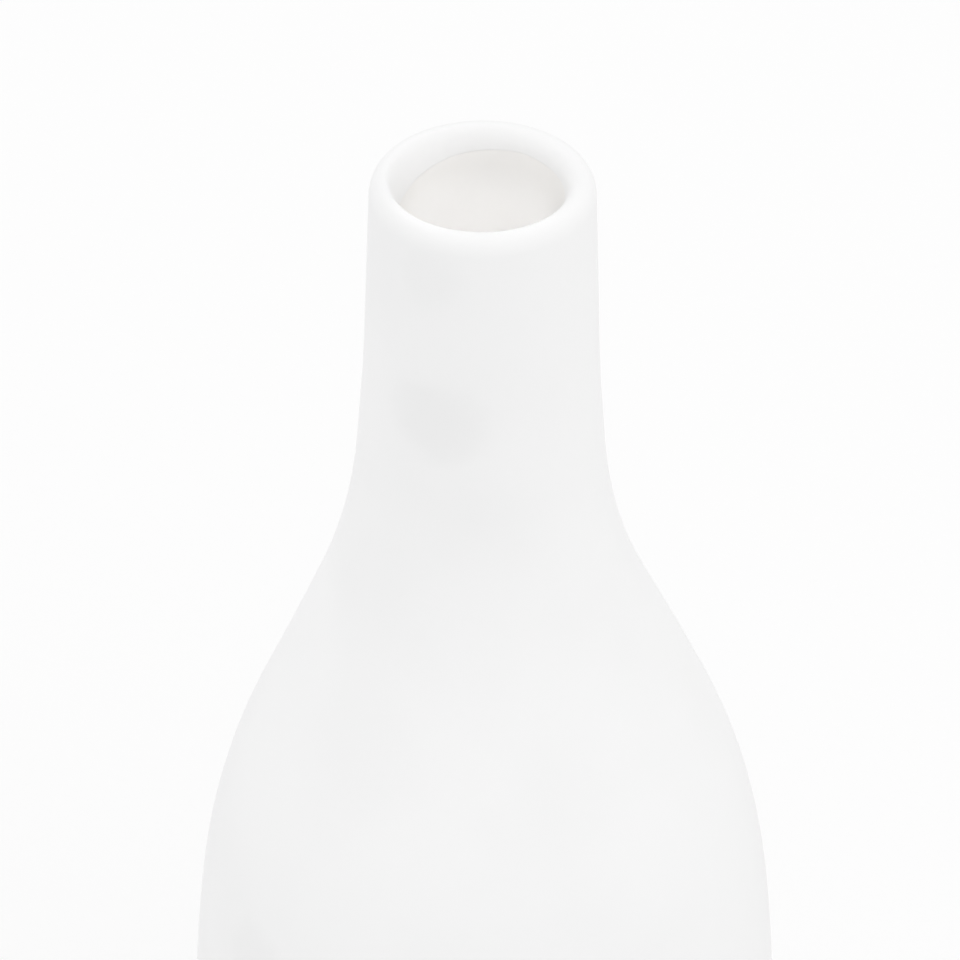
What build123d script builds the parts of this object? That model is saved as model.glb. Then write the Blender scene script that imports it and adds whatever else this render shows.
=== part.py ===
from build123d import *
import os
from math import radians, tan

# A bottle vase: one slip-cast clay body, a matt white glaze outside that rolls over
# the lip, a clear liner glaze inside, and felt pads stuck under the foot ring.
# Lengths are in millimetres. The vase stands on z = 0 and its axis is Z.

os.makedirs("parts", exist_ok=True)

# Heights of the clay's stretches, from the foot up to the lip
lower_body_length = 98.4
upper_body_length = 63.5
shoulder_length = 64.5
neck_length = 71.2

# Radii of the clay where those stretches meet, before the bends are rounded
foot_radius = 49.0
belly_radius = 57.3
shoulder_radius = 50.5
neck_radius = 21.8
lip_radius = 18.8

# How much of the shorter run beside it the rounding of each bend takes
belly_bend_share = 0.62
shoulder_bend_share = 0.34
neck_bend_share = 0.32

# The wall, the floor, and the throat, which is one bore below the mouth
body_wall = 4.6
floor_thickness = 5.5
floor_corner_share = 0.28
throat_length = 26.0
throat_bend_share = 0.52

# The lip, and the mouth that narrows a little from it to the throat's bore
lip_wall = 4.2
mouth_flare_width = 0.9
mouth_flare_depth = 5.2
lip_outer_share = 0.53
lip_inner_share = 0.45
mouth_flare_share = 0.6

# The foot: a rounded heel, then a flat ring round a shallow recess
foot_ring_width = 23.0
heel_share = 0.56
foot_recess_depth = 2.0
foot_edge_share = 0.4

# The glazes: how thick they are, and where each one stops
glaze_thickness = 0.4
glaze_line_depth = 4.3
dry_foot_height = 1.0

# Felt pads under the flat of the foot ring
pad_count = 4
pad_diameter = 8.0
pad_thickness = 2.0

cut_overrun = 10.0


def rounded(outline):
    """Corners of a closed outline of (corner, share) pairs, and the radius of each bend."""
    corners = [corner for corner, _ in outline]
    bend_radii = []
    for index, (corner, share) in enumerate(outline):
        run_in = corner - corners[index - 1]
        run_out = corners[(index + 1) % len(corners)] - corner
        half_turn = radians(run_in.get_angle(run_out) / 2)
        bend_radii.append(share * min(run_in.length, run_out.length) / tan(half_turn))
    return corners, bend_radii


def inset(before, corner, after, wall):
    """A corner of the outside, moved in by one wall from both of its runs."""
    side_in = (corner - before).normalized().rotate(Axis.Z, 90)
    side_out = (after - corner).normalized().rotate(Axis.Z, 90)
    return corner + (side_in + side_out) * (wall / (1 + side_in.dot(side_out)))


# Levels, from the underside of the clay up
foot_height = pad_thickness
recess_height = foot_height + foot_recess_depth
floor_height = recess_height + floor_thickness
belly_height = foot_height + lower_body_length
shoulder_height = belly_height + upper_body_length
neck_height = shoulder_height + shoulder_length
lip_height = neck_height + neck_length
throat_height = lip_height - throat_length
glaze_line_height = lip_height - glaze_line_depth
dry_foot_line = recess_height + dry_foot_height

# Corners of the outside, as (radius, height)
foot_corner = Vector(foot_radius, foot_height)
belly_corner = Vector(belly_radius, belly_height)
shoulder_corner = Vector(shoulder_radius, shoulder_height)
neck_corner = Vector(neck_radius, neck_height)
lip_corner = Vector(lip_radius, lip_height)

# Corners of the mouth
bore_radius = lip_radius - lip_wall
bore_corner = Vector(bore_radius, lip_height - mouth_flare_depth)
mouth_corner = Vector(bore_radius + mouth_flare_width, lip_height)

# Corners of the inside, one wall in from the outside
inner_neck = inset(shoulder_corner, neck_corner, lip_corner, body_wall)
inner_shoulder = inset(belly_corner, shoulder_corner, neck_corner, body_wall)
inner_belly = inset(foot_corner, belly_corner, shoulder_corner, body_wall)
lower_run = foot_corner - belly_corner
inner_foot = inner_belly + lower_run * ((floor_height - inner_belly.Y) / lower_run.Y)

hollow_outline = [
    (bore_corner, mouth_flare_share),
    (Vector(bore_radius, throat_height), 0),
    (inner_neck, throat_bend_share),
    (inner_shoulder, shoulder_bend_share),
    (inner_belly, belly_bend_share),
    (inner_foot, floor_corner_share),
    (Vector(0, floor_height), 0),
]
foot_ring_radius = foot_radius - foot_ring_width
foot_outline = [
    (Vector(0, recess_height), 0),
    (Vector(foot_ring_radius, recess_height), foot_edge_share),
    (Vector(foot_ring_radius, foot_height), foot_edge_share),
    (foot_corner, heel_share),
]
outside_outline = [
    (belly_corner, belly_bend_share),
    (shoulder_corner, shoulder_bend_share),
    (neck_corner, neck_bend_share),
    (lip_corner, lip_outer_share),
    (mouth_corner, lip_inner_share),
]

# The clay body, turned from its half section
with BuildPart() as vase_body:
    with BuildSketch(Plane.XZ) as clay_section:
        with BuildLine():
            corners, bend_radii = rounded(foot_outline + outside_outline + hollow_outline)
            FilletPolyline(*corners, radius=bend_radii, close=True)
        make_face()
    revolve(axis=Axis.Z)
vase_body.part.label = "vase_body"
export_step(vase_body.part, "parts/vase_body.step")

# The half section of the hollow, up to the line where the two glazes meet
widest_radius = max(foot_radius, belly_radius, shoulder_radius, neck_radius, lip_radius)
with BuildSketch(Plane.XZ) as hollow_section:
    with BuildLine():
        corners, bend_radii = rounded([(Vector(0, lip_height), 0), (mouth_corner, 0)] + hollow_outline)
        FilletPolyline(*corners, radius=bend_radii, close=True)
    make_face()
    with Locations((0, glaze_line_height)):
        Rectangle(
            widest_radius,
            glaze_line_depth + cut_overrun,
            align=Align.MIN,
            mode=Mode.SUBTRACT,
        )

# A skin of even thickness all round the clay, which both glazes are cut from
with BuildSketch(Plane.XZ) as skin_section:
    add(clay_section.sketch_local)
    offset(amount=glaze_thickness)
    add(clay_section.sketch_local, mode=Mode.SUBTRACT)

# The liner glaze is the skin inside the hollow
with BuildPart() as liner_glaze:
    with BuildSketch(Plane.XZ):
        add(skin_section.sketch_local)
        add(hollow_section.sketch_local, mode=Mode.INTERSECT)
    revolve(axis=Axis.Z)
liner_glaze.part.label = "liner_glaze"
export_step(liner_glaze.part, "parts/liner_glaze.step")

# The matt glaze is the skin outside the hollow, down to the dry foot
with BuildPart() as outer_glaze:
    with BuildSketch(Plane.XZ):
        add(skin_section.sketch_local)
        add(hollow_section.sketch_local, mode=Mode.SUBTRACT)
        with Locations((0, dry_foot_line)):
            Rectangle(
                widest_radius + cut_overrun,
                lip_height - dry_foot_line + cut_overrun,
                align=Align.MIN,
                mode=Mode.INTERSECT,
            )
    revolve(axis=Axis.Z)
outer_glaze.part.label = "outer_glaze"
export_step(outer_glaze.part, "parts/outer_glaze.step")

# Felt pads, evenly spaced round the middle of the ring's flat
flat_outer_radius = foot_radius - heel_share * foot_ring_width
flat_inner_radius = foot_ring_radius + foot_edge_share * foot_recess_depth
pad_circle_radius = (flat_outer_radius + flat_inner_radius) / 2
pad_spacing = 360 / pad_count
for number in range(1, pad_count + 1):
    with BuildPart() as felt_pad:
        with BuildSketch():
            with PolarLocations(pad_circle_radius, 1, start_angle=(number - 0.5) * pad_spacing):
                Circle(pad_diameter / 2)
        extrude(amount=pad_thickness)
    felt_pad.part.label = f"felt_pad_{number}"
    export_step(felt_pad.part, f"parts/{felt_pad.part.label}.step")
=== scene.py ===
from math import atan, cos, exp, pi, radians, sin, tan

import bpy
from mathutils import Matrix, Vector


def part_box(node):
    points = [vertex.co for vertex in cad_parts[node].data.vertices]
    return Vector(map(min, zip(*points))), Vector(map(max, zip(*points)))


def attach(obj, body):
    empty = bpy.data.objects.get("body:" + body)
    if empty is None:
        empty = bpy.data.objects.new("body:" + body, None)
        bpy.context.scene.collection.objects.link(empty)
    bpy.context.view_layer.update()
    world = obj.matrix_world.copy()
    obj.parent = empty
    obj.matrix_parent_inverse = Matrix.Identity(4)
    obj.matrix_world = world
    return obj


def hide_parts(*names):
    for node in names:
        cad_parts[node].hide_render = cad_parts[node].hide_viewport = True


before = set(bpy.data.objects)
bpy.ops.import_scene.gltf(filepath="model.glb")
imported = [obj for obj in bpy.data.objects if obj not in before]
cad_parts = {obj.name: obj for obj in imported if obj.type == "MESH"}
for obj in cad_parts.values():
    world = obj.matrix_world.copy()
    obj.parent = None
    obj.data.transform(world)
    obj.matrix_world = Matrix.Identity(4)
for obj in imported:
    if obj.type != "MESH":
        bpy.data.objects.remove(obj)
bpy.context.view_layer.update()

scene = bpy.context.scene
mm = 0.001
noiseSpan = {"From Min": 0.3, "From Max": 0.7}  # a Noise Texture's values hardly leave this range
print("frame loaded:", ", ".join(sorted(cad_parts)))


def linearColour(hexText):  # "#EDEDEC" as written, to the linear values Blender works in
    parts = [int(hexText[at:at + 2], 16) / 255 for at in (1, 3, 5)]
    return [p / 12.92 if p <= 0.04045 else ((p + 0.055) / 1.055) ** 2.4 for p in parts] + [1.0]


def feed(tree, node, inputs):  # links or sets a node's sockets, each named by its label or its number
    for name, value in inputs.items():
        if isinstance(value, bpy.types.Node):
            value = value.outputs[0]
        if isinstance(value, bpy.types.NodeSocket):
            tree.links.new(value, node.inputs[name])
        else:
            node.inputs[name].default_value = value


def addNode(tree, kind, inputs={}, **settings):  # one node, its settings, and what feeds it
    node = tree.nodes.new(kind)
    node.location = (len(tree.nodes) % 12 * 190, len(tree.nodes) // 12 * -320)  # rows of twelve in the editor
    for name, value in settings.items():
        setattr(node, name, value)
    feed(tree, node, inputs)
    return node


def drawCurve(node, points, ends):  # sets a Float Curve: places from one end to the other, with values from 0 to 1
    curve = node.mapping.curves[0]
    for place, value in points.items():
        if place in ends:
            curve.points[-ends.index(place)].location = (ends.index(place), value)
        else:
            curve.points.new((place - ends[0]) / (ends[1] - ends[0]), value)
    node.mapping.update()


def seenDirectly(tree):  # 1 for the camera's rays and for reflections and refractions of the studio, otherwise 0
    rays = addNode(tree, "ShaderNodeLightPath").outputs
    seen = addNode(tree, "ShaderNodeMath", {0: rays["Is Camera Ray"], 1: rays["Is Glossy Ray"]}, operation="MAXIMUM")
    return addNode(tree, "ShaderNodeMath", {0: seen, 1: rays["Is Transmission Ray"]}, operation="MAXIMUM")


# the photograph is taken from above, and crops the vase at its belly
cameraSizes = {
    "place": (-0.84, -707.0, 773.0),  # mm, about 0.85 m from the lip
    "pitch": 37.263,                  # degrees below level
    "lens": 187.5,                    # mm
    "sensor": 36.0,
}
camera = bpy.data.objects.new("camera", bpy.data.cameras.new("camera"))
scene.collection.objects.link(camera)
camera.location = Vector(cameraSizes["place"]) * mm
camera.rotation_euler = (radians(90 - cameraSizes["pitch"]), 0, 0)
camera.data.lens = cameraSizes["lens"]
camera.data.sensor_width = cameraSizes["sensor"]
scene.camera = camera
scene.view_settings.view_transform = "Standard"
print("camera set")

# a white tent with softboxes behind its cloth, and a white floor
studio = {
    "tent": 0.845,         # how bright the tent's cloth is on the object
    "softboxes": {         # degrees round from the camera's side to its right, degrees up, how narrow, how bright
        "right": (60, 50, 6, 0.41),
        "highLeft": (270, 68, 12, 0.37),
        "left": (270, 12, 6, 0.34),
        "frontRight": (45, 12, 6, 0.24),
    },
    "backdrop": 0.982,     # what the camera sees of the tent and the floor, 253 of 255
    "floorColour": "#E7E7E7",
    "floorSize": 12.0,     # m across
    "floorLift": 0.175,    # added for the camera, so that the lit floor shows at the backdrop's white
}
white = (1, 1, 1, 1)

world = bpy.data.worlds.new("studioTent")
scene.world = world
world.use_nodes = True
tree = world.node_tree
tree.nodes.clear()
seen = seenDirectly(tree)
outlook = addNode(tree, "ShaderNodeTexCoord").outputs["Generated"]
level = studio["tent"]
for turnRound, up, narrow, strength in studio["softboxes"].values():
    flat = cos(radians(up))
    way = (sin(radians(turnRound)) * flat, -cos(radians(turnRound)) * flat, sin(radians(up)))
    facing = addNode(tree, "ShaderNodeVectorMath", {0: outlook, 1: way}, operation="DOT_PRODUCT")
    facing = addNode(tree, "ShaderNodeMath", {0: facing.outputs["Value"], 1: 0.0}, operation="MAXIMUM")
    pool = addNode(tree, "ShaderNodeMath", {0: facing, 1: narrow}, operation="POWER")
    level = addNode(tree, "ShaderNodeMath", {0: pool, 1: strength, 2: level}, operation="MULTIPLY_ADD")
tent = addNode(tree, "ShaderNodeBackground", {"Color": white, "Strength": level})
backdrop = addNode(tree, "ShaderNodeBackground", {"Color": white, "Strength": studio["backdrop"]})
shown = addNode(tree, "ShaderNodeMixShader", {0: seen, 1: tent, 2: backdrop})
addNode(tree, "ShaderNodeOutputWorld", {"Surface": shown})

floorMesh = bpy.data.meshes.new("floor")
half = studio["floorSize"] / 2
floorCorners = [(-half, -half, 0), (half, -half, 0), (half, half, 0), (-half, half, 0)]
floorMesh.from_pydata(floorCorners, [], [(0, 1, 2, 3)])
floor = bpy.data.objects.new("floor", floorMesh)
scene.collection.objects.link(floor)

paper = bpy.data.materials.new("matt white background paper")
paper.use_nodes = True
tree = paper.node_tree
tree.nodes.clear()
lift = addNode(tree, "ShaderNodeMath", {0: seenDirectly(tree), 1: studio["floorLift"]}, operation="MULTIPLY")
glow = addNode(tree, "ShaderNodeEmission", {"Color": white, "Strength": lift})
matt = addNode(tree, "ShaderNodeBsdfDiffuse", {"Color": linearColour(studio["floorColour"])})
both = addNode(tree, "ShaderNodeAddShader", {0: matt, 1: glow})
addNode(tree, "ShaderNodeOutputMaterial", {"Surface": both})
floorMesh.materials.append(paper)

# small snooted lamps that light the inside of the mouth alone, where the tent's light doesn't reach
mouthLamps = {
    "distance": 600.0,     # mm
    "source": 2.0,         # mm, so small that the edge of the beam stays inside the lip
    "middle": (-0.8, 0.0, 300.0),  # of the mouth, mm
    "wallRadius": 14.2,
    "aims": {              # degrees round to the camera's right, degrees up, mm below the lip, mm wide there, strength
        "left": (-35, 60, 30, 28, 0.489),
        "leftWide": (-40, 60, 26, 32, 0.128),
        "right": (35, 60, 30, 28, 0.362),
        "rightWide": (40, 60, 26, 32, 0.241),
    },
}
for name, (turnRound, up, depth, width, strength) in mouthLamps["aims"].items():
    outwards = Vector((sin(radians(turnRound)), -cos(radians(turnRound)), 0))
    back = outwards * cos(radians(up)) + Vector((0, 0, sin(radians(up))))
    target = Vector(mouthLamps["middle"]) - outwards * mouthLamps["wallRadius"] - Vector((0, 0, depth))
    lamp = bpy.data.objects.new(name + "MouthLamp", bpy.data.lights.new(name + "MouthLamp", "SPOT"))
    scene.collection.objects.link(lamp)
    lamp.location = (target + back * mouthLamps["distance"]) * mm
    lamp.rotation_euler = (-back).to_track_quat("-Z", "Y").to_euler()
    lamp.data.spot_size = 2 * atan(width / 2 / mouthLamps["distance"])
    lamp.data.spot_blend = 1.0
    lamp.data.shadow_soft_size = mouthLamps["source"] * mm
    lamp.data.energy = (2 * pi * mouthLamps["distance"] * mm) ** 2 * strength
    lamp.visible_camera = False
print("studio set")

# the clay's half section, in mm, as (radius, height)
claySizes = {
    # corners of the outside: radius, height, how much of the shorter run beside it is rounded
    "recess": (0.0, 4.0, 0.0),
    "recessEdge": (26.0, 4.0, 0.4),
    "ringEdge": (26.0, 2.0, 0.4),
    "heel": (49.0, 2.0, 0.56),
    "belly": (57.3, 100.4, 0.62),
    "shoulder": (50.58, 163.4, 0.34),
    "neck": (22.93, 225.94, 0.535),
    "collar": (20.32, 260.9, 0.18),
    # the lip: its crest, and a quarter ellipse down either side of it, as wide and as high as this
    "crest": (17.05, 299.4),
    "lipOutside": (2.05, 3.4),
    "lipInside": (2.45, 6.8),
    "neckLean": 2.7,       # degrees round the lip's outer arc, where the neck's line meets it
    "throatEnd": 273.6,
    # inside, one wall in from the corners above
    "wall": 4.6,
    "innerNeckShare": 0.52,
    "innerShoulderShare": 0.34,
    "innerBellyShare": 0.62,
    "floorCornerShare": 0.28,
    "floorHeight": 9.5,
    # how finely it is drawn
    "longestStep": 2.4,    # mm along it
    "turnStep": 5.0,       # degrees round a bend
    "outerArcSteps": 14,
    "innerArcSteps": 36,
}


def inset(before, corner, after, wall):  # a corner moved in by one wall from both of its runs
    sides = [Vector((-run.y, run.x)).normalized() for run in (corner - before, after - corner)]
    return corner + (sides[0] + sides[1]) * (wall / (1 + sides[0].dot(sides[1])))


def between(start, end, longestStep):  # points that divide a straight run evenly
    count = int((end - start).length / longestStep) + 1
    return [start.lerp(end, step / count) for step in range(1, count)]


def roundedPath(outline):  # points along an outline of (corner, share) pairs
    longestStep, turnStep = claySizes["longestStep"], radians(claySizes["turnStep"])
    corners = [corner for corner, _ in outline]
    points = [corners[0]]
    for (corner, share), before, after in zip(outline[1:-1], corners, corners[2:]):
        runIn, runOut = corner - before, after - corner
        cut = share * min(runIn.length, runOut.length)
        bend = [corner]
        if cut > 0:
            bendAngle = -runIn.angle_signed(runOut)
            start = corner - runIn.normalized() * cut
            middle = start + Vector((-runIn.y, runIn.x)).normalized() * (cut / tan(bendAngle / 2))
            arm = start - middle
            count = 1 + int(abs(bendAngle) * max(1 / turnStep, arm.length / longestStep))
            bend = [middle + Matrix.Rotation(bendAngle * step / count, 2) @ arm for step in range(count + 1)]
        points += between(points[-1], bend[0], longestStep) + bend
    return points + between(points[-1], corners[-1], longestStep) + [corners[-1]]


def ellipsePath(middle, reach, first, last, steps):  # points round an ellipse, from one angle to another
    angles = [radians(first + (last - first) * step / steps) for step in range(steps + 1)]
    return [middle + Vector((reach[0] * cos(angle), reach[1] * sin(angle))) for angle in angles]


outsideNames = ("recess", "recessEdge", "ringEdge", "heel", "belly", "shoulder", "neck", "collar")
outside = {name: Vector(claySizes[name][:2]) for name in outsideNames}
crest = Vector(claySizes["crest"])
lipOutside, lipInside = claySizes["lipOutside"], claySizes["lipInside"]
outerMiddle, innerMiddle = crest - Vector((0, lipOutside[1])), crest - Vector((0, lipInside[1]))
outerArc = ellipsePath(outerMiddle, lipOutside, claySizes["neckLean"], 90, claySizes["outerArcSteps"])
innerArc = ellipsePath(innerMiddle, lipInside, 90, 180, claySizes["innerArcSteps"])
boreRadius = innerArc[-1].x
wall = claySizes["wall"]
innerNeck = inset(outside["shoulder"], outside["neck"], outerArc[0], wall)
innerShoulder = inset(outside["belly"], outside["shoulder"], outside["neck"], wall)
innerBelly = inset(outside["heel"], outside["belly"], outside["shoulder"], wall)
lowerRun = outside["heel"] - outside["belly"]
innerFoot = innerBelly + lowerRun * ((claySizes["floorHeight"] - innerBelly.y) / lowerRun.y)
clayPath = roundedPath([(outside[name], claySizes[name][2]) for name in outsideNames] + [(outerArc[0], 0)])
clayPath += outerArc[1:] + innerArc[1:]
clayPath += roundedPath([
    (innerArc[-1], 0),
    (Vector((boreRadius, claySizes["throatEnd"])), 0),
    (innerNeck, claySizes["innerNeckShare"]),
    (innerShoulder, claySizes["innerShoulderShare"]),
    (innerBelly, claySizes["innerBellyShare"]),
    (innerFoot, claySizes["floorCornerShare"]),
    (Vector((0, claySizes["floorHeight"])), 0),
])[1:]
print("half section drawn:", len(clayPath), "points")


def crossings(path, height):  # where a path passes a height, as (number of the point after it, place)
    return [
        (at, a.lerp(b, (height - a.y) / (b.y - a.y)))
        for at, (a, b) in enumerate(zip(path, path[1:]), 1)
        if (a.y - height) * (b.y - height) < 0
    ]


def skin(path, rise, sink, bulge, toAxis=False, capSteps=8):  # section of a glaze skin on a stretch of the clay
    ways = [(path[min(at + 1, len(path) - 1)] - path[max(at - 1, 0)]).normalized() for at in range(len(path))]
    lengths = [0.0]
    for a, b in zip(path, path[1:]):
        lengths.append(lengths[-1] + (b - a).length)
    top = [p + Vector((w.y, -w.x)) * rise(s, lengths[-1] - s) for p, w, s in zip(path, ways, lengths)]
    under = [p - Vector((w.y, -w.x)) * sink for p, w in zip(path, ways)]

    def cap(first, last, way):  # half an ellipse round the skin's edge
        middle, arm = (first + last) / 2, (first - last) / 2
        angles = [pi * step / capSteps for step in range(1, capSteps)]
        return [middle + arm * cos(angle) + way * (bulge * sin(angle)) for angle in angles]

    back = under[::-1] + cap(under[0], top[0], -ways[0])
    if toAxis:
        return back + top
    return top + cap(top[-1], under[-1], ways[-1]) + back + [top[0]]


# one tree turns every round piece from its section, as on a wheel, and gives it the casting's own faults
turning = {
    "stepsAround": 192,
    "mergeDistance": 0.002,  # mm
    "seed": 3.0,
    "driftByHeight": {     # mm: the neck of this casting stands a little left of the body's axis
        0: 0, 60: 0, 110: 0.01, 150: 0.04, 178: 0.05, 189: 0.0, 197: -0.13, 206: -0.42,
        215: -0.63, 226: -0.74, 240: -0.7, 257: -0.6, 277: -0.48, 300: -0.37,
    },
    "driftRange": 2.0,     # mm, the whole range of the curve that holds it
    "mouthShift": -0.43,   # mm: and the mouth a little left in the lip
    "shiftStart": 55.0,    # mm below the top, where that begins going up, and where it is full
    "shiftFull": 15.0,
    "lineDepthByAngle": {  # degrees round from the right: mm from the top of the lip to the glaze line
        0: 4.3, 15: 4.15, 30: 4.05, 45: 3.95, 58: 3.78, 68: 3.9, 78: 4.15, 90: 4.4, 101: 4.7, 114: 5.25, 127: 6.0,
        135: 6.5, 145: 7.15, 157: 7.85, 170: 8.1, 186: 7.7, 208: 6.4, 236: 5.1, 270: 4.5, 305: 4.2, 335: 4.3, 360: 4.3,
    },
    "lineRange": 10.0,     # mm, as above
    "holdAbove": 2.0,      # mm below the top, where what swings with the line ends
    "holdBelow": 12.0,     # mm below the line, and where it ends on the way down
    "footBends": 2.6,      # how often the wiped line above the foot turns up or down
    "footHold": 4.0,       # mm above that line, where what wanders with it ends
    "heelWay": (0.79, 0.62),  # the way it wanders along the rounded heel, as (outwards, up)
    "ripple": 0.06,        # mm deep, the slow hollows of a cast and sponged wall
    "rippleSize": 30.0,
    "rippleLevel": 1.9,    # above 1, so that every hollow is inwards
}
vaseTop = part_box("outer_glaze")[1].z
coatSizes = {
    "thickness": 0.4,      # mm
    "sink": 0.12,          # how far its underside lies in the clay
    "lineHeight": 295.3,
    "lineStep": 0.3,       # between points next to the line
    "footLine": 5.0,
    "footSwing": 0.9,
    "edgeThinning": 0.05,  # how much thinner its wiped edge in the mouth is
    "edgeWidth": 1.2,
    "edgeBulge": 0.12,
}


def startTree(name, sockets):  # a Geometry Nodes tree with named inputs, and what they give
    tree = bpy.data.node_groups.new(name, "GeometryNodeTree")
    for label, kind, value in sockets:
        made = tree.interface.new_socket(label, in_out="INPUT", socket_type="NodeSocket" + kind)
        if value is not None:
            made.default_value = value
    tree.interface.new_socket("Geometry", in_out="OUTPUT", socket_type="NodeSocketGeometry")
    return tree, addNode(tree, "NodeGroupInput").outputs


def buildTurningTree():
    tree, given = startTree("turned on the wheel", (
        ("Geometry", "Geometry", None),
        ("Steps Around", "Int", turning["stepsAround"]),
        ("Material", "Material", None),
        ("Line Swing", "Float", 0.0),
        ("Line Height", "Float", coatSizes["lineHeight"] * mm),
        ("Foot Swing", "Float", 0.0),
        ("Foot Height", "Float", coatSizes["footLine"] * mm),
        ("Drift", "Float", turning["driftRange"] * mm),
        ("Mouth Shift", "Float", turning["mouthShift"] * mm),
        ("Ripple", "Float", turning["ripple"] * mm),
        ("Ripple Size", "Float", turning["rippleSize"] * mm),
        ("Seed", "Float", turning["seed"]),
        ("Flare Width", "Float", lipInside[0] * mm),
        ("Flare Height", "Float", lipInside[1] * mm),
        ("Flare Foot", "Float", innerArc[-1].y * mm),
    ))

    # a grid, one way along the section and the other way round the axis
    size = addNode(tree, "GeometryNodeAttributeDomainSize", {0: given["Geometry"]}, component="MESH")
    count = size.outputs["Point Count"]
    rows = addNode(tree, "ShaderNodeMath", {0: given["Steps Around"], 1: 1.0}, operation="ADD")
    grid = addNode(tree, "GeometryNodeMeshGrid", {
        "Size X": 1.0, "Size Y": 1.0, "Vertices X": count, "Vertices Y": rows,
    })
    place = addNode(tree, "GeometryNodeInputPosition")
    spread = addNode(tree, "ShaderNodeSeparateXYZ", {0: place})
    along = addNode(tree, "ShaderNodeMath", {0: spread.outputs["X"], 1: 0.5}, operation="ADD")
    around = addNode(tree, "ShaderNodeMath", {0: spread.outputs["Y"], 1: 0.5}, operation="ADD")
    last = addNode(tree, "ShaderNodeMath", {0: count, 1: 1.0}, operation="SUBTRACT")
    station = addNode(tree, "ShaderNodeMath", {0: along, 1: last}, operation="MULTIPLY")
    number = addNode(tree, "FunctionNodeFloatToInt", {0: station}, rounding_mode="ROUND")
    point = addNode(tree, "GeometryNodeSampleIndex", data_type="FLOAT_VECTOR", domain="POINT")
    feed(tree, point, {"Geometry": given["Geometry"], "Value": place, "Index": number})
    section = addNode(tree, "ShaderNodeSeparateXYZ", {0: point})
    radius, height = section.outputs["X"], section.outputs["Z"]
    angle = addNode(tree, "ShaderNodeMath", {0: around, 1: 2 * pi}, operation="MULTIPLY")
    cosine = addNode(tree, "ShaderNodeMath", {0: angle}, operation="COSINE")
    sine = addNode(tree, "ShaderNodeMath", {0: angle}, operation="SINE")

    # how far the glaze line in the mouth swings up or down, and which part of the section goes with it
    depth = addNode(tree, "ShaderNodeFloatCurve", {"Value": around})
    lineDepths = {at: value / turning["lineRange"] for at, value in turning["lineDepthByAngle"].items()}
    drawCurve(depth, lineDepths, (0, 360))
    lineLevel = addNode(tree, "ShaderNodeMath", {
        0: depth, 1: -turning["lineRange"] * mm, 2: vaseTop,
    }, operation="MULTIPLY_ADD")
    swing = addNode(tree, "ShaderNodeMath", {0: lineLevel, 1: given["Line Height"]}, operation="SUBTRACT")
    above = addNode(tree, "ShaderNodeMapRange", {
        "Value": height, "From Min": vaseTop - turning["holdAbove"] * mm, "From Max": given["Line Height"],
    })
    belowEnd = addNode(tree, "ShaderNodeMath", {
        0: given["Line Height"], 1: turning["holdBelow"] * mm,
    }, operation="SUBTRACT")
    below = addNode(tree, "ShaderNodeMapRange", {
        "Value": height, "From Min": belowEnd, "From Max": given["Line Height"],
    }, interpolation_type="SMOOTHSTEP")
    inMouth = addNode(tree, "ShaderNodeMath", {0: radius, 1: crest.x * mm}, operation="LESS_THAN")
    hold = addNode(tree, "ShaderNodeMath", {0: above, 1: below}, operation="MULTIPLY")
    hold = addNode(tree, "ShaderNodeMath", {0: hold, 1: inMouth}, operation="MULTIPLY")
    hold = addNode(tree, "ShaderNodeMath", {0: hold, 1: given["Line Swing"]}, operation="MULTIPLY")
    moved = addNode(tree, "ShaderNodeMath", {0: hold, 1: swing, 2: height}, operation="MULTIPLY_ADD")

    # what moves there keeps to the mouth's flare, so it also goes in or out
    flares = []
    for heightThere in (moved, height):
        up = addNode(tree, "ShaderNodeMath", {0: heightThere, 1: given["Flare Foot"]}, operation="SUBTRACT")
        up = addNode(tree, "ShaderNodeMath", {0: up, 1: given["Flare Height"]}, operation="DIVIDE", use_clamp=True)
        square = addNode(tree, "ShaderNodeMath", {0: up, 1: up}, operation="MULTIPLY")
        rest = addNode(tree, "ShaderNodeMath", {0: 1.0, 1: square}, operation="SUBTRACT")
        flares.append(addNode(tree, "ShaderNodeMath", {0: rest}, operation="SQRT"))
    outward = addNode(tree, "ShaderNodeMath", {0: flares[1], 1: flares[0]}, operation="SUBTRACT")
    reach = addNode(tree, "ShaderNodeMath", {
        0: outward, 1: given["Flare Width"], 2: radius,
    }, operation="MULTIPLY_ADD")

    # the wiped line above the foot wanders a little, along the rounded heel
    ring = addNode(tree, "ShaderNodeCombineXYZ", {0: cosine, 1: sine, 2: given["Seed"]})
    wander = addNode(tree, "ShaderNodeTexNoise", {"Vector": ring, "Scale": turning["footBends"], "Detail": 3.0})
    wander = addNode(tree, "ShaderNodeMath", {0: wander, 1: 0.5}, operation="SUBTRACT")
    footEnd = addNode(tree, "ShaderNodeMath", {0: given["Foot Height"], 1: turning["footHold"] * mm}, operation="ADD")
    footHold = addNode(tree, "ShaderNodeMapRange", {
        "Value": height, "From Min": footEnd, "From Max": given["Foot Height"],
    }, interpolation_type="SMOOTHSTEP")
    wander = addNode(tree, "ShaderNodeMath", {0: wander, 1: footHold}, operation="MULTIPLY")
    wander = addNode(tree, "ShaderNodeMath", {0: wander, 1: given["Foot Swing"]}, operation="MULTIPLY")

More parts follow.
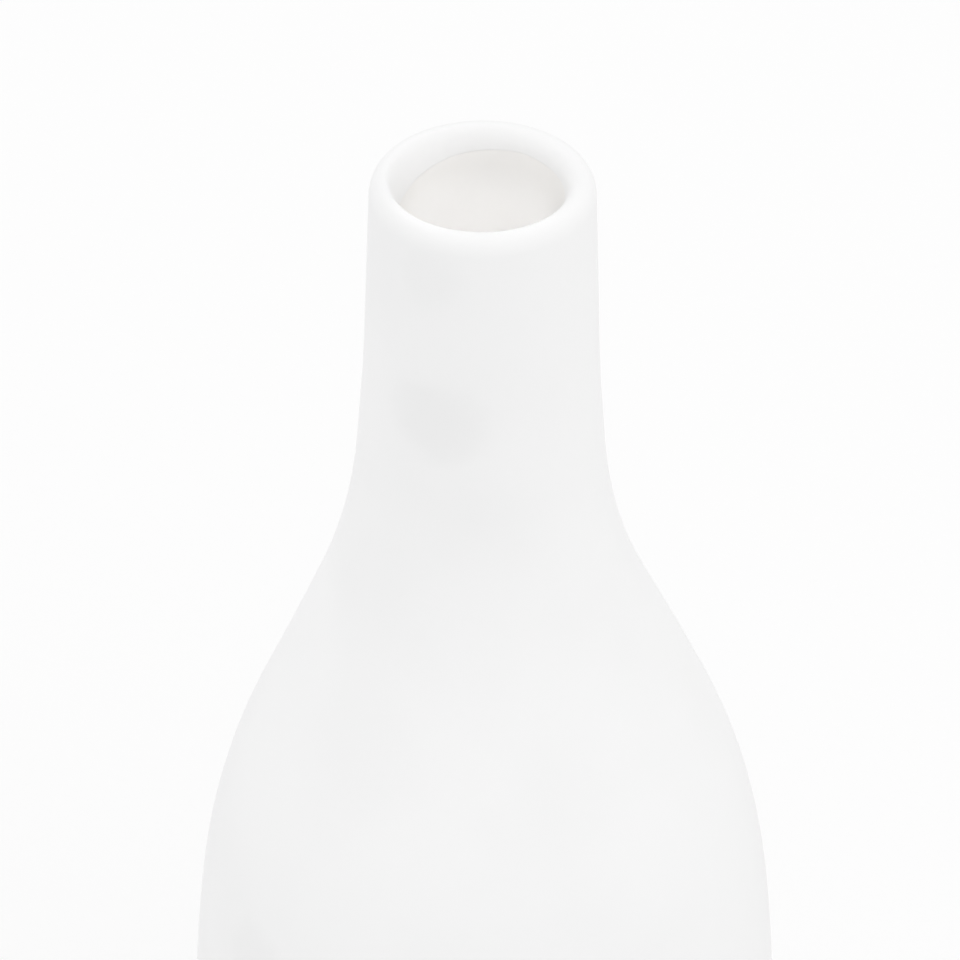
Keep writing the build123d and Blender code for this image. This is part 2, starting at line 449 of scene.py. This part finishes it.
    # slow hollows of a hand-finished casting, only ever inwards, and none on the axis
    plain = addNode(tree, "ShaderNodeCombineXYZ", {0: cosine, 1: sine, 2: 0.0})
    spoke = addNode(tree, "ShaderNodeVectorMath", {0: plain, "Scale": radius}, operation="SCALE")
    upright = addNode(tree, "ShaderNodeCombineXYZ", {0: 0.0, 1: 0.0, 2: height})
    spot = addNode(tree, "ShaderNodeVectorMath", {0: spoke, 1: upright}, operation="ADD")
    perSize = addNode(tree, "ShaderNodeMath", {0: 1.0, 1: given["Ripple Size"]}, operation="DIVIDE")
    spot = addNode(tree, "ShaderNodeVectorMath", {0: spot, "Scale": perSize}, operation="SCALE")
    ripple = addNode(tree, "ShaderNodeTexNoise", {
        "Vector": spot, "W": given["Seed"], "Scale": 1.0, "Detail": 1.0,
    }, noise_dimensions="4D")
    ripple = addNode(tree, "ShaderNodeMath", {0: ripple, 1: turning["rippleLevel"]}, operation="SUBTRACT")
    ripple = addNode(tree, "ShaderNodeMath", {0: ripple, 1: given["Ripple"]}, operation="MULTIPLY")
    offAxis = addNode(tree, "ShaderNodeMapRange", {
        "Value": radius, "From Min": 0.0, "From Max": given["Ripple Size"],
    })
    ripple = addNode(tree, "ShaderNodeMath", {0: ripple, 1: offAxis}, operation="MULTIPLY")

    # the neck drifts left of the axis, and the mouth a little more than the lip around it
    drift = addNode(tree, "ShaderNodeMath", {0: height, 1: vaseTop}, operation="DIVIDE")
    drift = addNode(tree, "ShaderNodeFloatCurve", {"Value": drift})
    drifts = {at: 0.5 + value / turning["driftRange"] for at, value in turning["driftByHeight"].items()}
    drawCurve(drift, drifts, (0, 300))
    drift = addNode(tree, "ShaderNodeMath", {0: drift, 1: 0.5}, operation="SUBTRACT")
    drift = addNode(tree, "ShaderNodeMath", {0: drift, 1: given["Drift"]}, operation="MULTIPLY")
    inBore = addNode(tree, "ShaderNodeMapRange", {
        "Value": radius, "From Min": crest.x * mm, "From Max": boreRadius * mm,
    }, interpolation_type="SMOOTHSTEP")
    inNeck = addNode(tree, "ShaderNodeMapRange", {
        "Value": height,
        "From Min": vaseTop - turning["shiftStart"] * mm,
        "From Max": vaseTop - turning["shiftFull"] * mm,
    }, interpolation_type="SMOOTHSTEP")
    shift = addNode(tree, "ShaderNodeMath", {0: inBore, 1: inNeck}, operation="MULTIPLY")
    drift = addNode(tree, "ShaderNodeMath", {0: shift, 1: given["Mouth Shift"], 2: drift}, operation="MULTIPLY_ADD")

    heelOut, heelUp = turning["heelWay"]
    reach = addNode(tree, "ShaderNodeMath", {0: wander, 1: heelOut, 2: reach}, operation="MULTIPLY_ADD")
    reach = addNode(tree, "ShaderNodeMath", {0: reach, 1: ripple}, operation="ADD")
    level = addNode(tree, "ShaderNodeMath", {0: wander, 1: heelUp, 2: moved}, operation="MULTIPLY_ADD")
    across = addNode(tree, "ShaderNodeMath", {0: reach, 1: cosine, 2: drift}, operation="MULTIPLY_ADD")
    back = addNode(tree, "ShaderNodeMath", {0: reach, 1: sine}, operation="MULTIPLY")
    final = addNode(tree, "ShaderNodeCombineXYZ", {0: across, 1: back, 2: level})
    fromLine = addNode(tree, "ShaderNodeMath", {0: lineLevel, 1: level}, operation="SUBTRACT")
    marked = addNode(tree, "GeometryNodeStoreNamedAttribute", {
        "Geometry": grid.outputs["Mesh"], "Name": "belowLine", "Value": fromLine,
    })
    turned = addNode(tree, "GeometryNodeSetPosition", {"Geometry": marked, "Position": final})
    closed = addNode(tree, "GeometryNodeMergeByDistance", {
        "Geometry": turned, "Distance": turning["mergeDistance"] * mm,
    })
    outwards = addNode(tree, "GeometryNodeFlipFaces", {"Mesh": closed})
    smooth = addNode(tree, "GeometryNodeSetShadeSmooth", {"Geometry": outwards})
    real = addNode(tree, "GeometryNodeRealizeInstances", {"Geometry": smooth})
    done = addNode(tree, "GeometryNodeSetMaterial", {"Geometry": real, "Material": given["Material"]})
    addNode(tree, "NodeGroupOutput", {0: done})
    return tree


def applyTree(piece, tree, material, inputs):  # runs a node tree on a piece and keeps the result as its plain mesh
    modifier = piece.modifiers.new(tree.name, "NODES")
    modifier.node_group = tree
    values = {"Material": material, **inputs}
    for socket in tree.interface.items_tree:
        if socket.in_out == "INPUT" and socket.name in values:
            modifier[socket.identifier] = values[socket.name]
    made = bpy.data.meshes.new_from_object(piece.evaluated_get(bpy.context.evaluated_depsgraph_get()))
    made.name = piece.name
    made.materials.clear()  # the grid brings an empty slot of its own
    made.materials.append(material)
    old = piece.data
    piece.modifiers.clear()
    piece.data = made
    bpy.data.meshes.remove(old)


turningTree = buildTurningTree()


def turn(name, section, material, **inputs):  # turns a section, given in mm, into a plain mesh piece
    points = [(p.x * mm, 0, p.y * mm) for p in section]
    drawn = bpy.data.meshes.new(name + "Section")
    drawn.from_pydata(points, [(at, at + 1) for at in range(len(points) - 1)], [])
    piece = bpy.data.objects.new(name, drawn)
    scene.collection.objects.link(piece)
    applyTree(piece, turningTree, material, {key.replace("_", " "): value for key, value in inputs.items()})
    print(name, "turned:", len(piece.data.polygons), "faces")
    return piece


def startMaterial(name, **sockets):  # a material's tree, its shader, and where on the object a point lies
    material = bpy.data.materials.new(name)
    material.use_nodes = True
    tree = material.node_tree
    tree.nodes.clear()
    values = {key.replace("_", " "): value for key, value in sockets.items()}
    shader = addNode(tree, "ShaderNodeBsdfPrincipled", values)
    addNode(tree, "ShaderNodeOutputMaterial", {"Surface": shader})
    return material, tree, shader, addNode(tree, "ShaderNodeTexCoord").outputs["Object"]


# a matt glaze, sprayed on: its fine crystals scatter the light, so it has a broad soft sheen and no sharp reflection;
# the spray leaves a faint orange peel and lies a little thinner in soft clouds, where the clay dulls its white;
# three darker patches on the front of the neck, under the lip and on the body's left are painted shade and dark
# reflections
mattGlazeLook = {
    "colour": "#F9F9F9",
    "thinGlazeAndShadeColour": "#F1F1F1",
    "cloudSize": 38.0,     # mm
    "cloudStart": 0.45,    # of the noise, where a cloud starts and where its middle is
    "cloudMiddle": 0.75,
    "cloudDepth": 0.34,    # share of the thin colour in the middle of a cloud
    "paintedShadePlaces": {        # mm: painted shade and dark reflections, dark patches each with its radius and its share of that darker colour
        "neckFront": ((-8.4, -19.0, 262.0), 12.5, 0.6),
        "underLip": ((-10.0, -17.0, 290.5), 9.5, 0.32),
        "bodyLeft": ((-42.8, -30.2, 147.8), 13.0, 0.55),
    },
    "unevenSize": 6.0,     # mm, and how uneven the edges of those places are, as a share of their radius
    "unevenShare": 0.35,
    "placeReach": 0.9,     # where they end, as a share of their radius
    "peelSize": 1.3,       # mm between the rises of the orange peel, and how high they are
    "peelHeight": 0.008,
    "roughness": (0.46, 0.56),
    "crystalSize": 0.35,   # mm: the real crystals are a few microns, drawn coarser so that they show
}
mattGlaze, tree, shader, where = startMaterial("matt white glaze, sprayed", IOR=1.5)
clouds = addNode(tree, "ShaderNodeTexNoise", {
    "Vector": where, "Scale": 1 / (mattGlazeLook["cloudSize"] * mm), "Detail": 2.0,
})
thinGlazeAndShade = addNode(tree, "ShaderNodeMapRange", {
    "Value": clouds, "From Min": mattGlazeLook["cloudStart"], "From Max": mattGlazeLook["cloudMiddle"],
    "To Max": mattGlazeLook["cloudDepth"],
})
uneven = addNode(tree, "ShaderNodeTexNoise", {
    "Vector": where, "Scale": 1 / (mattGlazeLook["unevenSize"] * mm), "Detail": 2.0,
})
# painted shade and dark reflections: each place darkens the glaze's colour round a given point
for middle, radius, share in mattGlazeLook["paintedShadePlaces"].values():
    away = addNode(tree, "ShaderNodeVectorMath", {0: where, 1: Vector(middle) * mm}, operation="DISTANCE")
    away = addNode(tree, "ShaderNodeMath", {
        0: uneven, 1: -mattGlazeLook["unevenShare"] * radius * mm, 2: away.outputs["Value"],
    }, operation="MULTIPLY_ADD")
    place = addNode(tree, "ShaderNodeMapRange", {
        "Value": away, "From Min": 0.0, "From Max": mattGlazeLook["placeReach"] * radius * mm,
        "To Min": share, "To Max": 0.0,
    }, interpolation_type="SMOOTHERSTEP")
    thinGlazeAndShade = addNode(tree, "ShaderNodeMath", {0: thinGlazeAndShade, 1: place}, operation="MAXIMUM")
shade = addNode(tree, "ShaderNodeMix", {
    "Factor": thinGlazeAndShade, "A": linearColour(mattGlazeLook["colour"]), "B": linearColour(mattGlazeLook["thinGlazeAndShadeColour"]),
}, data_type="RGBA")
crystals = addNode(tree, "ShaderNodeTexNoise", {
    "Vector": where, "Scale": 1 / (mattGlazeLook["crystalSize"] * mm), "Detail": 3.0,
})
rough = addNode(tree, "ShaderNodeMapRange", {
    "Value": crystals, **noiseSpan, "To Min": mattGlazeLook["roughness"][0], "To Max": mattGlazeLook["roughness"][1],
})
peel = addNode(tree, "ShaderNodeTexNoise", {
    "Vector": where, "Scale": 1 / (mattGlazeLook["peelSize"] * mm), "Detail": 1.0,
})
relief = addNode(tree, "ShaderNodeBump", {
    "Height": peel, "Strength": 1.0, "Distance": mattGlazeLook["peelHeight"] * mm,
})
feed(tree, shader, {"Base Color": shade.outputs["Result"], "Roughness": rough, "Normal": relief})

# a clear glaze, poured in and out again: smooth enough for a soft gleam, with faint runs down the wall where it
# drained, and the warm clay showing through; it is darker where it runs out thin under the coat's edge, partly the
# clay showing through and partly painted shade under that edge
linerLook = {
    "colour": "#FBFAF9",
    "thinGlazeAndShadeColour": "#F3F1ED",
    "thinAndShadeDepth": 9.0,      # mm from the coat's edge over which it thickens and the painted shade fades
    "thinAndShadeShare": 0.3,
    "runWidth": 3.2,       # mm
    "runLength": 26.0,
    "runHeight": 0.008,
    "runShare": 0.15,      # of the thin colour, between the runs
    "roughness": (0.3, 0.42),
}
linerGlaze, tree, shader, where = startMaterial("clear liner glaze, poured", IOR=1.52)
stretch = (1.0, 1.0, linerLook["runWidth"] / linerLook["runLength"])
drawn = addNode(tree, "ShaderNodeVectorMath", {0: where, 1: stretch}, operation="MULTIPLY")
runs = addNode(tree, "ShaderNodeTexNoise", {
    "Vector": drawn, "Scale": 1 / (linerLook["runWidth"] * mm), "Detail": 2.0,
})
below = addNode(tree, "ShaderNodeAttribute", attribute_name="belowLine")
# the clay showing through the thin glaze and painted shade under the coat's edge, both darkest at the edge
thinGlazeAndShade = addNode(tree, "ShaderNodeMapRange", {
    "Value": below.outputs["Fac"], "From Min": 0.0, "From Max": linerLook["thinAndShadeDepth"] * mm,
    "To Min": linerLook["thinAndShadeShare"], "To Max": 0.0,
}, interpolation_type="SMOOTHSTEP")
thinGlazeAndShade = addNode(tree, "ShaderNodeMath", {0: runs, 1: linerLook["runShare"], 2: thinGlazeAndShade}, operation="MULTIPLY_ADD")
shade = addNode(tree, "ShaderNodeMix", {
    "Factor": thinGlazeAndShade, "A": linearColour(linerLook["colour"]), "B": linearColour(linerLook["thinGlazeAndShadeColour"]),
}, data_type="RGBA")
rough = addNode(tree, "ShaderNodeMapRange", {
    "Value": runs, **noiseSpan, "To Min": linerLook["roughness"][0], "To Max": linerLook["roughness"][1],
})
relief = addNode(tree, "ShaderNodeBump", {
    "Height": runs, "Strength": 1.0, "Distance": linerLook["runHeight"] * mm,
})
feed(tree, shader, {"Base Color": shade.outputs["Result"], "Roughness": rough, "Normal": relief})

# a white casting clay, fired without glaze and wiped with a sponge on the wheel: dry and chalky, warmer than the
# glaze, with fine rings round the axis from the sponge and a few darker specks in the clay
clayLook = {
    "colour": "#E8E0D4",
    "toastedColour": "#DDD1C0",
    "toneSize": 14.0,      # mm, slow changes of tone from the kiln
    "speckColour": "#B09C84",
    "speckSize": 0.35,     # mm
    "speckSpacing": 4,     # from one to the next, as so many of their sizes
    "speckCore": 0.09,     # of that spacing, and where their soft edge ends
    "speckEdge": 0.15,
    "speckDepth": 0.7,     # share of their colour in their core
    "ringSpacing": 0.8,    # mm, the sponge's strokes
    "ringWander": 1.6,
    "ringHeight": 0.02,
    "ringShare": 0.6,      # how strong they are beside the grain
    "grainSize": 0.22,     # mm: the clay's grain is finer, drawn coarser so that it shows
    "roughness": (0.8, 0.92),
}
waveLength = 2 * pi / 20  # of a Wave Texture whose scale is 1
bareClay, tree, shader, where = startMaterial("white casting clay, fired and sponged", IOR=1.5)
tone = addNode(tree, "ShaderNodeTexNoise", {
    "Vector": where, "Scale": 1 / (clayLook["toneSize"] * mm), "Detail": 3.0,
})
shade = addNode(tree, "ShaderNodeMix", {
    "Factor": tone, "A": linearColour(clayLook["colour"]), "B": linearColour(clayLook["toastedColour"]),
}, data_type="RGBA")
specks = addNode(tree, "ShaderNodeTexVoronoi", {
    "Vector": where, "Scale": 1 / (clayLook["speckSpacing"] * clayLook["speckSize"] * mm),
})
specks = addNode(tree, "ShaderNodeMapRange", {
    "Value": specks.outputs["Distance"], "From Min": clayLook["speckCore"], "From Max": clayLook["speckEdge"],
    "To Min": clayLook["speckDepth"], "To Max": 0.0,
})
shade = addNode(tree, "ShaderNodeMix", {
    "Factor": specks, "A": shade.outputs["Result"], "B": linearColour(clayLook["speckColour"]),
}, data_type="RGBA")
rings = addNode(tree, "ShaderNodeTexWave", {
    "Vector": where, "Scale": waveLength / (clayLook["ringSpacing"] * mm), "Distortion": clayLook["ringWander"],
    "Detail": 2.0, "Detail Scale": 0.4,
}, wave_type="RINGS", rings_direction="Z")
grain = addNode(tree, "ShaderNodeTexNoise", {
    "Vector": where, "Scale": 1 / (clayLook["grainSize"] * mm), "Detail": 2.0,
})
rough = addNode(tree, "ShaderNodeMapRange", {
    "Value": grain, "To Min": clayLook["roughness"][0], "To Max": clayLook["roughness"][1],
})
surface = addNode(tree, "ShaderNodeMath", {
    0: rings.outputs["Fac"], 1: clayLook["ringShare"], 2: grain,
}, operation="MULTIPLY_ADD")
relief = addNode(tree, "ShaderNodeBump", {
    "Height": surface, "Strength": 1.0, "Distance": clayLook["ringHeight"] * mm,
})
feed(tree, shader, {"Base Color": shade.outputs["Result"], "Roughness": rough, "Normal": relief})

# wool felt, pressed and punched out: quite matt, with a pale edge of loose fibre and a tangle that the light picks
# out, with painted shade darkening the tangle's hollows
feltLook = {
    "colour": "#DEDCD7",
    "paintedShadeColour": "#C9C6BF",
    "tangleSize": 0.45,    # mm: wool fibre is 0.025 mm thick, so its tangle is drawn coarser
    "tangleTurn": 2.2,     # how much its strands turn
    "tangleHeight": 0.07,
    "hollowStart": 0.65,   # of the noise, where the painted shade of a hollow starts and where it is deepest
    "hollowMiddle": 0.35,
}
woolFelt, tree, shader, where = startMaterial(
    "wool felt, pressed and punched", Roughness=0.95, IOR=1.5, Sheen_Weight=0.4, Sheen_Roughness=0.5,
)
tangle = addNode(tree, "ShaderNodeTexNoise", {
    "Vector": where, "Scale": 1 / (feltLook["tangleSize"] * mm), "Detail": 4.0, "Distortion": feltLook["tangleTurn"],
})
# painted shade: the low places of the tangle's relief get a darker colour
paintedHollowShade = addNode(tree, "ShaderNodeMapRange", {
    "Value": tangle, "From Min": feltLook["hollowMiddle"], "From Max": feltLook["hollowStart"],
    "To Min": 1.0, "To Max": 0.0,
})
shade = addNode(tree, "ShaderNodeMix", {
    "Factor": paintedHollowShade, "A": linearColour(feltLook["colour"]), "B": linearColour(feltLook["paintedShadeColour"]),
}, data_type="RGBA")
relief = addNode(tree, "ShaderNodeBump", {
    "Height": tangle, "Strength": 1.0, "Distance": feltLook["tangleHeight"] * mm,
})
feed(tree, shader, {"Base Color": shade.outputs["Result"], "Normal": relief})
print("materials made")

# the clay body, which only shows at the foot and on the underside
body = turn("vaseBody", clayPath, bareClay)
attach(body, "root")
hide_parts("vase_body")


def coatRise(fromFoot, fromLine):  # how high the coat stands off the clay
    return coatSizes["thickness"] - coatSizes["edgeThinning"] * exp(-(fromLine / coatSizes["edgeWidth"]) ** 2)


# the matt coat outside, over the lip and down to its line in the mouth
first, firstPoint = crossings(clayPath, coatSizes["footLine"])[0]
last, lastPoint = crossings(clayPath, coatSizes["lineHeight"])[1]
coatPath = [firstPoint] + clayPath[first:last]
coatPath += between(clayPath[last - 1], lastPoint, coatSizes["lineStep"]) + [lastPoint]
coatSection = skin(coatPath, coatRise, coatSizes["sink"], coatSizes["edgeBulge"])
coat = turn("mattCoat", coatSection, mattGlaze, Line_Swing=1.0, Foot_Swing=coatSizes["footSwing"] * mm)
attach(coat, "root")
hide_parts("outer_glaze")

# the liner glaze inside, from under the coat's edge down to the floor
linerSizes = {
    "thickness": 0.4,      # mm
    "sink": 0.1,
    "thinning": 0.12,      # how much thinner it is where it runs out under the coat
    "thinningLength": 5.0,
    "overlap": 1.2,        # how far it runs up under the coat's edge
    "endBulge": 0.1,
}


def linerRise(fromTop, toFloor):  # how high the liner stands off the clay
    return linerSizes["thickness"] - linerSizes["thinning"] * exp(-(fromTop / linerSizes["thinningLength"]) ** 2)


first, firstPoint = crossings(clayPath, coatSizes["lineHeight"] + linerSizes["overlap"])[1]
linerPath = [firstPoint] + clayPath[first:]
linerSection = skin(linerPath, linerRise, linerSizes["sink"], linerSizes["endBulge"], toAxis=True)
liner = turn("linerGlaze", linerSection, linerGlaze, Line_Swing=1.0)
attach(liner, "root")
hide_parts("liner_glaze")

# felt pads under the foot ring, with loose fibres on their cut rims
padSizes = {
    "pads": 4,
    "halfSection": (       # mm, as (radius, height): a soft rim, then a thin film of adhesive on top
        (0, 0), (1.9, 0), (3.5, 0), (3.72, 0.05), (3.87, 0.2), (3.94, 0.5), (3.97, 0.9), (3.96, 1.3),
        (3.92, 1.6), (3.86, 1.77), (3.79, 1.83), (3.79, 1.98), (3.76, 2), (1.9, 2), (0, 2),
    ),
    "stepsAround": 48,
    "ripple": 0.09,
    "rippleSize": 2.0,
    "rimSlope": 0.6,       # how far from level a face may look, up or down, and still be rim
    "fibresPerArea": 3.0,  # on each square mm of the rim
    "fibreLength": 1.1,    # mm
    "fibreThickness": 0.045,  # mm, nearly twice the real one, so that it shows
    "fibreRoot": 0.04,     # mm, how deep it starts in the felt
    "fibreBend": (0.45, 0.1, 0.42),  # in fibre lengths, as (along the rim, sideways, out of it)
    "fibreEnd": (1.0, -0.15, 0.08),
    "fibreSteps": 5,
    "fibreSides": 3,
    "fibreScales": ((0.5, 0.9, 0.3), (1.25, 1.1, 1.3)),  # the smallest and the largest of each of those
    "fibreMiddle": 0.92,   # mm up the rim, and how far up or down from there any fibre goes
    "fibreReach": 0.86,
}


def buildFibreTree():  # short curved fibres, rooted in a pad's rim
    tree, given = startTree("fibres on a punched rim", (
        ("Geometry", "Geometry", None),
        ("Material", "Material", None),
        ("Seed", "Int", 1),
        ("Fibres Per Area", "Float", padSizes["fibresPerArea"] / mm ** 2),
        ("Length", "Float", padSizes["fibreLength"] * mm),
        ("Thickness", "Float", padSizes["fibreThickness"] * mm),
        ("Middle", "Float", padSizes["fibreMiddle"] * mm),
        ("Reach", "Float", padSizes["fibreReach"] * mm),
    ))
    facing = addNode(tree, "GeometryNodeInputNormal")
    facing = addNode(tree, "ShaderNodeSeparateXYZ", {0: facing})
    facing = addNode(tree, "ShaderNodeMath", {0: facing.outputs["Z"]}, operation="ABSOLUTE")
    onRim = addNode(tree, "ShaderNodeMath", {0: facing, 1: padSizes["rimSlope"]}, operation="LESS_THAN")
    roots = addNode(tree, "GeometryNodeDistributePointsOnFaces", {
        "Mesh": given["Geometry"], "Selection": onRim, "Density": given["Fibres Per Area"], "Seed": given["Seed"],
    })

    # one fibre: it comes out of the felt and lies over
    length = given["Length"]
    bend = addNode(tree, "ShaderNodeVectorMath", {0: padSizes["fibreBend"], "Scale": length}, operation="SCALE")
    end = addNode(tree, "ShaderNodeVectorMath", {0: padSizes["fibreEnd"], "Scale": length}, operation="SCALE")
    line = addNode(tree, "GeometryNodeCurveQuadraticBezier", {
        "Resolution": padSizes["fibreSteps"], "Start": (0, 0, -padSizes["fibreRoot"] * mm), "Middle": bend, "End": end,
    })
    radius = addNode(tree, "ShaderNodeMath", {0: given["Thickness"], 1: 0.5}, operation="MULTIPLY")
    ring = addNode(tree, "GeometryNodeCurvePrimitiveCircle", {"Resolution": padSizes["fibreSides"], "Radius": radius})
    fibre = addNode(tree, "GeometryNodeCurveToMesh", {"Curve": line, "Profile Curve": ring, "Fill Caps": True})

    smallest, largest = padSizes["fibreScales"]
    sizes = addNode(tree, "FunctionNodeRandomValue", {
        0: smallest, 1: largest, "Seed": given["Seed"],
    }, data_type="FLOAT_VECTOR")
    placed = addNode(tree, "GeometryNodeInstanceOnPoints", {
        "Points": roots.outputs["Points"], "Instance": fibre, "Rotation": roots.outputs["Rotation"], "Scale": sizes,
    })
    spin = addNode(tree, "FunctionNodeRandomValue", {2: 0.0, 3: 2 * pi, "Seed": given["Seed"]}, data_type="FLOAT")
    spin = addNode(tree, "ShaderNodeCombineXYZ", {2: spin.outputs[1]})
    spun = addNode(tree, "GeometryNodeRotateInstances", {"Instances": placed, "Rotation": spin, "Local Space": True})
    loose = addNode(tree, "GeometryNodeRealizeInstances", {"Geometry": spun})

    # those that reach towards the shelf or the clay are bent away from it
    place = addNode(tree, "GeometryNodeInputPosition")
    place = addNode(tree, "ShaderNodeSeparateXYZ", {0: place})
    height = addNode(tree, "ShaderNodeMath", {0: place.outputs["Z"], 1: given["Middle"]}, operation="SUBTRACT")
    height = addNode(tree, "ShaderNodeMath", {0: height, 1: given["Reach"]}, operation="DIVIDE")
    height = addNode(tree, "ShaderNodeMath", {0: height}, operation="TANH")
    height = addNode(tree, "ShaderNodeMath", {
        0: height, 1: given["Reach"], 2: given["Middle"],
    }, operation="MULTIPLY_ADD")
    place = addNode(tree, "ShaderNodeCombineXYZ", {0: place.outputs["X"], 1: place.outputs["Y"], 2: height})
    held = addNode(tree, "GeometryNodeSetPosition", {"Geometry": loose, "Position": place})
    held = addNode(tree, "GeometryNodeSetShadeSmooth", {"Geometry": held})
    joined = addNode(tree, "GeometryNodeJoinGeometry", {"Geometry": given["Geometry"]})
    feed(tree, joined, {"Geometry": held})
    real = addNode(tree, "GeometryNodeRealizeInstances", {"Geometry": joined})
    done = addNode(tree, "GeometryNodeSetMaterial", {"Geometry": real, "Material": given["Material"]})
    addNode(tree, "NodeGroupOutput", {0: done})
    return tree


fibreTree = buildFibreTree()
padSection = [Vector(corner) for corner in padSizes["halfSection"]]
for number in range(1, padSizes["pads"] + 1):
    node = f"felt_pad_{number}"
    pad = turn(
        f"feltPad{number}", padSection, woolFelt, Steps_Around=padSizes["stepsAround"], Seed=float(number),
        Ripple=padSizes["ripple"] * mm, Ripple_Size=padSizes["rippleSize"] * mm,
    )
    applyTree(pad, fibreTree, woolFelt, {"Seed": number})
    low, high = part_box(node)
    pad.data.transform(Matrix.Translation(((low[0] + high[0]) / 2, (low[1] + high[1]) / 2, 0)))
    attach(pad, "root")
    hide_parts(node)
print("felt pads made")
